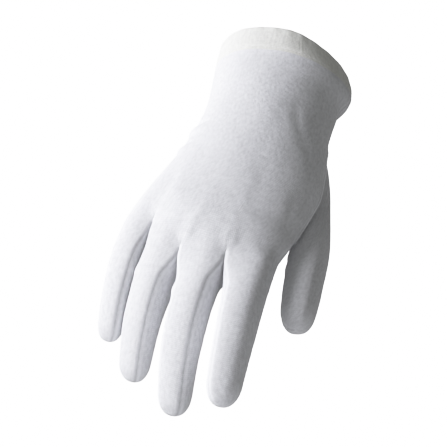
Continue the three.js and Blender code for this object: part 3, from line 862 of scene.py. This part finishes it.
class Shader:
    """A node tree that is filled by calls."""

    def __init__(self, tree):
        self.tree = tree
        tree.nodes.clear()

    def node(self, kind, settings=(), sockets=()):
        """A node of a type, with its settings made first and then its sockets' values or links."""
        node = self.tree.nodes.new(kind)
        for name, value in dict(settings).items():
            setattr(node, name, value)
        for name, value in dict(sockets).items():
            socket = node.inputs[name]
            if isinstance(value, Value):
                value = value.socket
            if isinstance(value, bpy.types.NodeSocket):
                self.tree.links.new(value, socket)
            else:
                socket.default_value = value
        return node

    def value(self, kind, settings=(), sockets=(), output=0):
        return Value(self, self.node(kind, settings, sockets).outputs[output])

    def noise(self, place, scale, detail=2.0, roughness=0.5):
        """Noise from 0 to 1 at a place; scale is in bumps to a unit of the place."""
        sockets = {"Vector": place, "Scale": scale, "Detail": detail, "Roughness": roughness}
        return self.value("ShaderNodeTexNoise", {"noise_dimensions": "3D"}, sockets)

    def mix(self, share, a, b):
        """Two colours mixed by a share."""
        sockets = {0: share, 6: a, 7: b}
        return self.node("ShaderNodeMix", {"data_type": "RGBA"}, sockets).outputs[2]


def shaded(colour, factor):
    """A colour times a factor, with full alpha."""
    return (*(c * factor for c in colour[:3]), 1.0)


def knit_material(name, colour, looks):
    """Jersey knit: columns of V-shaped loops, a little uneven, with fuzz on the yarn, painted shade between
    the loops and in the seams' grooves, and painted highlights on the ridges beside the seams and on the
    thumb's welt."""
    material = bpy.data.materials.new(name)
    material.use_nodes = True
    shader = Shader(material.node_tree)
    knit = shader.node("ShaderNodeUVMap", {"uv_map": "knit"}).outputs[0]
    parts = shader.node("ShaderNodeSeparateXYZ", (), {0: knit})
    u, v = (Value(shader, parts.outputs[k]) for k in (0, 1))
    place = shader.node("ShaderNodeTexCoord").outputs["Object"]
    tall = shader.node("ShaderNodeMapping", (), {"Vector": knit, "Scale": (1.0, 0.55, 1.0)}).outputs[0]
    spots = shader.noise(tall, 0.62, 2, 0.6)
    drift = shader.noise(knit, 0.11, 1) - 0.5
    uneven = shader.noise(knit, 0.8, 2)
    column = ((u + drift * 1.4) / looks.wale).fraction() - 0.5
    leg = abs((column * (2 * math.pi)).sine()) ** 0.75
    turn = (v + drift * 1.1) / looks.course + abs(column) * 1.5
    loop = (turn * (2 * math.pi)).sine() * 0.5 + 0.5
    yarn = leg * (loop * 0.6 + 0.4)
    fuzz = shader.noise(place, 2600, 3, 0.7)
    clumps = shader.noise(knit, 0.45, 3, 0.6)
    height = yarn * 0.7 + fuzz * 0.3 + uneven * 0.35 + clumps * 0.5 - spots * 0.5
    gap = shader.value("ShaderNodeAttribute", {"attribute_name": "seam_gap"}, (), "Fac")
    # Painted shade in the groove along each seam
    seam = gap.step(-0.4, 0) * (1 - gap.step(0.05, 0.6))
    # Painted highlight on the welt's crest at the thumb's seam
    welt = 1 - gap.step(-1, -0.2)
    # Painted highlight on the ridge of doubled cloth beside each seam
    ridge = gap.step(0.3, 1.2) * (1 - gap.step(1.8, 2.8))
    # Painted shade between the loops, darkest where the yarn is low
    shade = (1 - yarn) * (uneven * 0.6 + 0.7) * looks.knit_shade
    patch = shader.noise(place, 42, 3, 0.55).step(0.35, 0.75)
    thread = shader.mix(patch, shaded(colour, 1.0), shaded(colour, TINTS.worn))
    dark = shader.mix(shade, thread, shaded(colour, TINTS.between))
    flecks = spots.step(0.3, 0.74) * looks.grain + clumps.step(0.3, 0.72) * (looks.grain * 0.35)
    grain = shader.mix(flecks, dark, shaded(colour, TINTS.fleck))
    # Painted highlight on the ridges beside the seams
    with_ridge_highlight = shader.mix(ridge * looks.ridge_painted_highlight, grain, shaded(colour, TINTS.ridge))
    # Painted shade in the seams' grooves
    sewn = shader.mix(seam * looks.seam_shade, with_ridge_highlight, shaded(colour, TINTS.seam))
    # The welt's crest is painted paler, as a painted highlight
    base = shader.mix(welt, sewn, shaded(colour, TINTS.welt))
    bump = shader.node(
        "ShaderNodeBump", (), {"Strength": looks.bump, "Distance": looks.yarn_height * MM, "Height": height}
    )
    surface = shader.node(
        "ShaderNodeBsdfPrincipled",
        (),
        {
            "Base Color": base,
            "Roughness": fuzz * 0.12 + 0.82,
            "Normal": bump.outputs[0],
            "Sheen Weight": looks.sheen,
            "Sheen Roughness": 0.55,
            "Specular IOR Level": 0.25,
        },
    )
    shader.node("ShaderNodeOutputMaterial", (), {0: surface.outputs[0]})
    return material


def thread_material(name, colour, looks):
    """Sewing thread: two plies that wind round it, with painted shade between them and a little fuzz."""
    material = bpy.data.materials.new(name)
    material.use_nodes = True
    shader = Shader(material.node_tree)
    knit = shader.node("ShaderNodeUVMap", {"uv_map": "knit"}).outputs[0]
    parts = shader.node("ShaderNodeSeparateXYZ", (), {0: knit})
    u, v = (Value(shader, parts.outputs[k]) for k in (0, 1))
    ply = ((u * 2 + v * 1.6) * (2 * math.pi)).sine() * 0.5 + 0.5
    fuzz = shader.noise(shader.node("ShaderNodeTexCoord").outputs["Object"], 3500, 2, 0.6)
    # Painted shade in the grooves between the plies
    base = shader.mix(ply, shaded(colour, 0.78), shaded(colour, 1.02))
    bumps = {"Strength": 0.6, "Distance": 0.08 * MM, "Height": ply + fuzz * 0.4}
    bump = shader.node("ShaderNodeBump", (), bumps)
    surface = shader.node(
        "ShaderNodeBsdfPrincipled",
        (),
        {
            "Base Color": base,
            "Roughness": fuzz * 0.15 + 0.7,
            "Normal": bump.outputs[0],
            "Sheen Weight": looks.sheen,
            "Specular IOR Level": 0.3,
        },
    )
    shader.node("ShaderNodeOutputMaterial", (), {0: surface.outputs[0]})
    return material


def floor_material(colour):
    """Pale matt paper with a fine, faint grain."""
    material = bpy.data.materials.new("floor_paper")
    material.use_nodes = True
    shader = Shader(material.node_tree)
    place = shader.node("ShaderNodeTexCoord").outputs["Object"]
    base = shader.mix(shader.noise(place, 60, 3), shaded(colour, 0.985), shaded(colour, 1.0))
    surface = shader.node("ShaderNodeBsdfPrincipled", (), {"Base Color": base, "Roughness": 0.9})
    shader.node("ShaderNodeOutputMaterial", (), {0: surface.outputs[0]})
    return material


def colour_prop(name, description, default):
    """A colour setting."""
    return FloatVectorProperty(name=name, description=description, subtype="COLOR", size=3, default=default)


def length_prop(name, description, default, low=0.0, high=50.0):
    """A setting in millimetres, the unit of this script."""
    return FloatProperty(
        name=name, description=description + ", in millimetres", default=default, min=low, max=high
    )


def share_prop(name, description, default, high=1.0):
    """A setting that is a share."""
    return FloatProperty(
        name=name, description=description, default=default, min=0, max=high, subtype="FACTOR"
    )


class GloveClothSettings(bpy.types.PropertyGroup):
    """Sizes and colours of the cloth, its seams and its folds."""

    cotton: colour_prop("Cotton", "Colour of the knitted cotton", (0.868, 0.872, 0.9))
    hem_cotton: colour_prop("Hem cotton", "Colour of the doubled hem", (0.905, 0.905, 0.86))
    thread: colour_prop("Thread", "Colour of the sewing thread", (0.9, 0.9, 0.9))
    wale: length_prop("Wale", "Width of one column of loops", 1.25, 0.3)
    course: length_prop("Course", "Height of one row of loops", 1.0, 0.3)
    yarn_height: length_prop("Yarn height", "Height of the loops", 0.34)
    bump: share_prop("Knit bump", "Strength of the knit's relief", 0.8)
    # The knit shade is painted shade between the loops
    knit_shade: share_prop("Knit shade", "Darkness between the loops", 0.36)
    grain: share_prop("Grain", "Unevenness of the yarn's tone", 0.4)
    sheen: share_prop("Sheen", "Soft light on the fuzz", 0.25)
    # The seam shade is painted shade in the seams' grooves
    seam_shade: share_prop("Seam shade", "Darkness in the seams", 0.12)
    # The ridge light is a painted highlight on the ridge beside each seam
    ridge_painted_highlight: share_prop("Ridge light", "How much paler the doubled cloth beside a seam is", 0.4)
    seam_groove: length_prop("Seam groove", "Depth of a seam", 0.12)
    seam_ridge: length_prop("Seam ridge", "Height of the ridge beside a seam", 0.2)
    strip_ridge: length_prop("Strip ridge", "Height of the ridge on a side strip", 0.02)
    welt_groove: length_prop("Welt groove", "Depth of the thumb's seam", -0.15, -1)
    welt_ridge: length_prop("Welt ridge", "Height of the welt at the thumb's seam", 1.7)
    groove_width: length_prop("Groove width", "Half width of a seam's groove", 0.4, 0.1)
    ridge_distance: length_prop("Ridge distance", "From a seam to the top of its ridge", 1.9, 0.1)
    pucker: share_prop("Pucker", "How far each stitch draws the ridge in", 0.3)
    stitch_pitch: length_prop("Stitch pitch", "Length of one stitch of a seam", 2.6, 0.5)
    web_bump: length_prop("Web bump", "Height of the cloth over each web", 0.8)
    web_fold: length_prop("Web fold", "Depth of the folds that run up from each web", 0.12)
    fold_depth: share_prop("Folds", "Depth of the folds", 1.0, 3.0)
    slackness: length_prop("Slackness", "Height of the soft waves in the cloth", 0.22)
    ripple: length_prop("Ripple", "Height of the small waves in the cloth", 0.07)
    hem_proud: length_prop("Hem proud", "Height of the hem over the cloth below it", 0.06)
    hem_draw: length_prop("Hem draw", "How far the hem's stitches draw it in", 0.05)
    hem_rib: length_prop("Hem rib", "Height of the small ribs down the hem", 0.06)
    hem_stitch: length_prop("Hem stitch", "Length of one stitch of the hem", 3.2, 0.5)
    hem_line: length_prop("Hem line", "From the rim to the hem's stitches", 13.0, 1)
    thread_width: length_prop("Thread width", "Thickness of the hem's thread", 0.2, 0.1)


class GloveStageSettings(bpy.types.PropertyGroup):
    """The floor, the lights and the camera."""

    floor: colour_prop("Floor", "Colour of the floor", (0.86, 0.86, 0.85))
    floor_drop: FloatProperty(
        name="Floor drop", description="From the wrist opening down to the floor", default=0.66, unit="LENGTH"
    )
    key: FloatProperty(
        name="Key light", description="Power of the large light on the left", default=4.4, min=0
    )
    around: FloatProperty(
        name="Light around", description="Strength of the light from all sides", default=0.24, min=0
    )
    azimuth: FloatProperty(
        name="Azimuth",
        description="Camera's place round the glove",
        default=math.radians(19.178),
        subtype="ANGLE",
    )
    elevation: FloatProperty(
        name="Elevation", description="Camera's height", default=math.radians(-38.316), subtype="ANGLE"
    )
    roll: FloatProperty(
        name="Roll", description="Camera's roll", default=math.radians(-24.451), subtype="ANGLE"
    )
    lens: FloatProperty(name="Lens", description="Focal length on a 36 mm sensor", default=101.92, min=10)


def cloth_settings():
    """The settings of the cloth in the open scene."""
    return bpy.context.scene.glove_cloth


@cache
def all_sheets():
    """Every grid of the glove below its hem, with its outward directions, worked out once."""
    looks = cloth_settings()
    groups = {node: panel_sheets(side, looks) for node, side in zip(PANELS, (1, -1))}
    for web, node in enumerate(SIDE_STRIPS, 1):
        groups[node] = [strip_sheet(web, looks)]
    groups["thumb"] = [thumb_sheet(looks)]
    sheets = [sheet for group in groups.values() for sheet in group]
    columns = hem_angles().size
    edge = Sheet(hem_base(), np.zeros((2, columns, 2)), np.zeros((2, columns)))
    normals = outward([*sheets, edge])[:-1]
    for sheet in sheets:
        sheet.relief = sheet.relief + fold_relief(sheet.points, looks)
    found, start = {}, 0
    for node, group in groups.items():
        found[node] = (group, normals[start : start + len(group)])
        start += len(group)
    return found


def hem_angles():
    """Angles of the hem's columns, the same as those of the panels' first row, once round from 180 to
    -180."""
    bounds = [*(parting_angle(i) for i in range(len(FINGERS))), 0.0]
    half = np.concatenate([mixed(a, b, SHARES)[:-1] for a, b in zip(bounds, bounds[1:])])
    return np.concatenate([half, [0.0], -half[::-1]])


def hem_base():
    """Two rows of the hem's outside that end where the panels begin."""
    return hand_point(np.array([[HEM_DEPTH - 1], [HEM_DEPTH]]), hem_angles()[None, :])


def hem_normal(t, angle):
    """Outward direction on the hand: the cross product of its slopes down it and round it."""
    down = hand_point(t + SLOPE_STEP, angle) - hand_point(t - SLOPE_STEP, angle)
    around = hand_point(t, angle - SLOPE_TURN) - hand_point(t, angle + SLOPE_TURN)
    normal = np.cross(down, around)
    return normal / np.linalg.norm(normal, axis=-1)[..., None]


def hem_height(t, looks):
    """The doubled cloth stands proud of the cloth below, and its stitches draw it in."""
    proud = looks.hem_proud * smooth(HEM_DEPTH - t, 0, HEM_STEP)
    return proud - looks.hem_draw * bell((t - looks.hem_line) / HEM_STITCH_WIDTH)


def hem_mesh(looks):
    """The hem: a profile carried round the wrist. It runs up the outside, over the rim on a half circle,
    down the inside past the outside's end, and back out under the fold."""
    out_rows, rim_rows, in_rows = HEM_ROWS
    t_out = np.linspace(HEM_DEPTH, CLOTH, out_rows)
    turn = np.linspace(0, math.pi, rim_rows)[1:-1]
    t_in = np.linspace(CLOTH, HEM_DEPTH + HEM_OVERLAP, in_rows)
    t = np.concatenate([t_out, CLOTH * (1 - np.sin(turn)), t_in])[:, None]
    inset = np.concatenate([0 * t_out, CLOTH * (1 - np.cos(turn)), 2 * CLOTH + 0 * t_in])[:, None]
    outer = np.concatenate([np.ones_like(t_out), (1 + np.cos(turn)) / 2, 0 * t_in])[:, None]
    angle = hem_angles()[None, :]
    base, normal = hand_point(t, angle), hem_normal(t, angle)
    side = hand_point(HEM_DEPTH, angle)
    arc = lengths(side, 1)
    half = arc.shape[1] // 2
    gap = np.minimum(np.minimum(arc, arc[:, -1:] - arc), np.abs(arc - arc[:, half : half + 1])) + 0 * t
    relief = seam_relief(gap, t + 0 * gap, 0.0, looks) * smooth(t, 1.5, 6)
    relief = relief + hem_height(t, looks) + fold_relief(base, looks) * smooth(t, 0, HEM_FOLD_FADE)
    rim = RIM_WAVE * np.sin(arc * 2 * math.pi / RIM_WAVE_LENGTH) * bell((t - 2) / 4)
    ribs = np.sin(arc * 2 * math.pi / RIB_PITCH + np.sin(arc / RIB_DRIFT)) * bell((t - 9) / 4)
    rim = rim + looks.hem_rib * ribs * outer
    points = base + normal * (relief * outer + rim - inset)[..., None]
    points[..., 2] = np.minimum(points[..., 2], 0.0)
    points = np.concatenate([points, points[:1]])
    t_all = np.concatenate([t_out, -CLOTH * turn / math.pi, -t_in, [-HEM_DEPTH - HEM_TAIL]])[:, None]
    knit = np.stack([arc + 0 * t_all, t_all + 0 * arc], -1)
    gap = np.concatenate([gap, gap[:1]])
    sheet = Sheet(points, knit, 0 * gap, True, gap)
    first, faces, source = merged(points.reshape(-1, 3), joined_faces([sheet]))
    return make_mesh(
        "wrist_hem", points.reshape(-1, 3)[first], faces, knit.reshape(-1, 2)[source], gap.ravel()[first]
    )


def stitch_mesh(looks):
    """The hem's stitches: each is a short thread that rises from the cloth, runs along it and goes back in,
    with a round section that closes at both ends. They are spaced evenly round the hem."""
    fine = np.linspace(180, -180, 1441)
    arc = lengths(hand_point(np.full_like(fine, looks.hem_line), fine), 0)
    count = int(round(arc[-1] / looks.hem_stitch))
    along = np.linspace(-0.5, 0.5, STITCH_ROWS)
    around = np.linspace(0, 2 * math.pi, STITCH_SIDES + 1)[:-1]
    middle = (np.arange(count) + 0.5) * arc[-1] / count
    s = middle[:, None] + along * looks.hem_stitch * STITCH_SHARE
    angle = np.interp(s, arc, fine)
    t = looks.hem_line + STITCH_WANDER * np.sin(middle * 1.7)[:, None] + STITCH_SLANT * along
    normal = hem_normal(t, angle)
    base = hand_point(t, angle)
    height = hem_height(t, looks) + fold_relief(base, looks) * smooth(t, 0, HEM_FOLD_FADE)
    base = base + normal * height[..., None]
    rise = (1 - (2 * along) ** 4) * looks.thread_width * STITCH_RISE - STITCH_SINK
    centre = base + normal * rise[:, None]
    forward = np.gradient(centre, axis=1)
    forward /= np.linalg.norm(forward, axis=-1)[..., None]
    side = np.cross(forward, normal)
    radius = looks.thread_width / 2 * np.sqrt(np.clip(1 - (2 * along) ** 6, 0, 1))
    ring = side[:, :, None] * np.cos(around)[:, None] + normal[:, :, None] * np.sin(around)[:, None]
    points = centre[:, :, None] + ring * radius[:, None, None]
    rows, sides = len(along), len(around)
    corner = np.arange(rows * sides).reshape(rows, sides)
    ahead = np.roll(corner, -1, 1)
    quads = np.stack([corner[:-1], ahead[:-1], ahead[1:], corner[1:]], -1).reshape(-1, 4)
    quads = (quads[None] + (np.arange(count) * rows * sides)[:, None, None]).reshape(-1, 4)
    knit = np.stack(np.broadcast_arrays(around / (2 * math.pi), s[..., None]), -1).reshape(-1, 2)
    flat = points.reshape(-1, 3)
    first, faces, source = merged(flat, quads)
    return make_mesh("hem_stitches", flat[first], faces, knit[source], np.full(len(first), NO_SEAM))


class GLOVE_OT_panels(bpy.types.Operator):
    """The back and the palm, each with its sides of the four fingers"""

    bl_idname = "glove.panels"
    bl_label = "Back and palm"

    def execute(self, context):
        looks = cloth_settings()
        material = knit_material("cotton_jersey", looks.cotton, looks)
        for node in PANELS:
            show_cloth(node, cloth_mesh(node, *all_sheets()[node]), material)
        return {"FINISHED"}


class GLOVE_OT_side_strips(bpy.types.Operator):
    """The three strips between the fingers"""

    bl_idname = "glove.side_strips"
    bl_label = "Side strips"

    def execute(self, context):
        looks = cloth_settings()
        # The strips' cotton is made paler, as painted bounce light from the fingers beside them
        material = knit_material("strip_jersey", shaded(looks.cotton, TINTS.strip), looks)
        for node in SIDE_STRIPS:
            show_cloth(node, cloth_mesh(node, *all_sheets()[node]), material)
        return {"FINISHED"}


class GLOVE_OT_thumb(bpy.types.Operator):
    """The thumb, sewn into its opening"""

    bl_idname = "glove.thumb"
    bl_label = "Thumb"

    def execute(self, context):
        looks = cloth_settings()
        material = knit_material("thumb_jersey", looks.cotton, looks)
        show_cloth("thumb", cloth_mesh("thumb", *all_sheets()["thumb"]), material)
        return {"FINISHED"}


class GLOVE_OT_hem(bpy.types.Operator):
    """The folded hem and its line of stitches"""

    bl_idname = "glove.hem"
    bl_label = "Wrist hem"

    def execute(self, context):
        looks = cloth_settings()
        cloth = knit_material("hem_jersey", looks.hem_cotton, looks)
        show_cloth("wrist_hem", hem_mesh(looks), cloth)
        thread = thread_material("hem_thread", looks.thread, looks)
        show("hem_stitches", stitch_mesh(looks), thread)
        return {"FINISHED"}


def area_light(name, place, aim, size, power, colour):
    """A round lamp at a place, turned to what it lights."""
    light = bpy.data.lights.new(name, "AREA")
    light.shape, light.size, light.energy, light.color = "DISK", size, power, colour
    lamp = bpy.data.objects.new(name, light)
    bpy.context.scene.collection.objects.link(lamp)
    lamp.location = place
    lamp.rotation_euler = (Vector(aim) - Vector(place)).to_track_quat("-Z", "Y").to_euler()


# The camera's place and what the lights aim at, in m
CAMERA_PLACE = (0.18082, -0.5076, -0.55287)
GLOVE_MIDDLE = (0.0, 0.0, -0.115)

# The lights' directions from the glove in the camera's right, up and back, and their shares of the key light
LIGHT_DISTANCE, LIGHT_SIZE, LIGHT_COLOUR = 0.5, 0.4, (0.95, 0.95, 1)
AROUND_COLOUR = (0.97, 0.98, 0.96, 1)
LIGHTS = (
    ("key_light", (-0.951, 0.216, 0.22), 1.0),
    ("upper_light", (-0.796, 0.597, -0.1), 0.44),
    ("lower_light", (0.0, -0.85, 0.52), 0.11),
)
# Tones of the picture: how much light comes in, and how bright it is shown. The bright ones are pressed
# together.
TONES = (
    *((0, 0), (0.3, 0.3), (0.55, 0.55), (0.7, 0.67), (0.85, 0.76)),
    *((1, 0.83), (1.2, 0.9), (1.5, 0.96), (2, 1)),
)
WHITE = TONES[-1][0]
FLOOR_HALF = 3.0


def camera_axes(stage):
    """Right, up and back of the camera, from its angles round the glove and its roll."""
    az, el, roll = stage.azimuth, stage.elevation, stage.roll
    back = Vector((math.sin(az) * math.cos(el), -math.cos(az) * math.cos(el), math.sin(el)))
    right = Vector((0, 0, 1)).cross(back).normalized()
    up = back.cross(right)
    turned_right = right * math.cos(roll) - up * math.sin(roll)
    return turned_right, back.cross(turned_right), back


def show_tones(view):
    """Presses the bright tones together, as a camera does."""
    view.view_transform = "Standard"
    view.use_curve_mapping = True
    mapping = view.curve_mapping
    mapping.extend = "HORIZONTAL"
    mapping.white_level = [WHITE] * 3
    curve = mapping.curves[3]
    for light, tone in TONES[1:-1]:
        curve.points.new(light / WHITE, tone)
    mapping.update()


class GLOVE_OT_stage(bpy.types.Operator):
    """The floor, the lights and the camera"""

    bl_idname = "glove.stage"
    bl_label = "Stage"

    def execute(self, context):
        scene, stage = context.scene, context.scene.glove_stage
        right, up, back = camera_axes(stage)
        camera = bpy.data.objects.new("camera", bpy.data.cameras.new("camera"))
        scene.collection.objects.link(camera)
        camera.data.lens = stage.lens
        camera.data.clip_start = 0.01
        turned = Matrix((right, up, back)).transposed().to_4x4()
        camera.matrix_world = Matrix.Translation(CAMERA_PLACE) @ turned
        scene.camera = camera

        turns = ((-1, -1), (1, -1), (1, 1), (-1, 1))
        corners = [(x * FLOOR_HALF, y * FLOOR_HALF, -stage.floor_drop) for x, y in turns]
        mesh = bpy.data.meshes.new("floor")
        mesh.from_pydata(corners, [], [(0, 1, 2, 3)])
        mesh.materials.append(floor_material(stage.floor))
        floor = bpy.data.objects.new("floor", mesh)
        scene.collection.objects.link(floor)

        middle = Vector(GLOVE_MIDDLE)
        for name, (across, upwards, nearer), power in LIGHTS:
            place = middle + (right * across + up * upwards + back * nearer) * LIGHT_DISTANCE
            area_light(name, place, middle, LIGHT_SIZE, power * stage.key, LIGHT_COLOUR)

        scene.world = bpy.data.worlds.new("studio")
        scene.world.use_nodes = True
        shader = Shader(scene.world.node_tree)
        seen = shader.node("ShaderNodeBackground", (), {"Color": (1, 1, 1, 1), "Strength": WHITE})
        around = shader.node("ShaderNodeBackground", (), {"Color": AROUND_COLOUR, "Strength": stage.around})
        ray = shader.node("ShaderNodeLightPath").outputs["Is Camera Ray"]
        mix = shader.node("ShaderNodeMixShader", (), {0: ray, 1: around.outputs[0], 2: seen.outputs[0]})
        shader.node("ShaderNodeOutputWorld", (), {0: mix.outputs[0]})
        show_tones(scene.view_settings)
        return {"FINISHED"}


OPERATORS = (GLOVE_OT_stage, GLOVE_OT_panels, GLOVE_OT_side_strips, GLOVE_OT_thumb, GLOVE_OT_hem)


class GLOVE_PT_pieces(bpy.types.Panel):
    """The sidebar's buttons and settings"""

    bl_idname = "GLOVE_PT_pieces"
    bl_label = "Cotton work glove"
    bl_space_type = "VIEW_3D"
    bl_region_type = "UI"
    bl_category = "Glove"

    def draw(self, context):
        for operator in OPERATORS:
            self.layout.operator(operator.bl_idname)
        for settings in (context.scene.glove_cloth, context.scene.glove_stage):
            box = self.layout.box()
            for name in settings.bl_rna.properties.keys():
                if name not in ("rna_type", "name"):
                    box.prop(settings, name)


CLASSES = (GloveClothSettings, GloveStageSettings, *OPERATORS, GLOVE_PT_pieces)


def register():
    for item in CLASSES:
        bpy.utils.register_class(item)
    bpy.types.Scene.glove_cloth = PointerProperty(type=GloveClothSettings)
    bpy.types.Scene.glove_stage = PointerProperty(type=GloveStageSettings)


def unregister():
    del bpy.types.Scene.glove_stage
    del bpy.types.Scene.glove_cloth
    for item in reversed(CLASSES):
        bpy.utils.unregister_class(item)


def main():
    register()
    for operator in OPERATORS:
        group, name = operator.bl_idname.split(".")
        getattr(getattr(bpy.ops, group), name)()


if __name__ == "__main__":
    main()
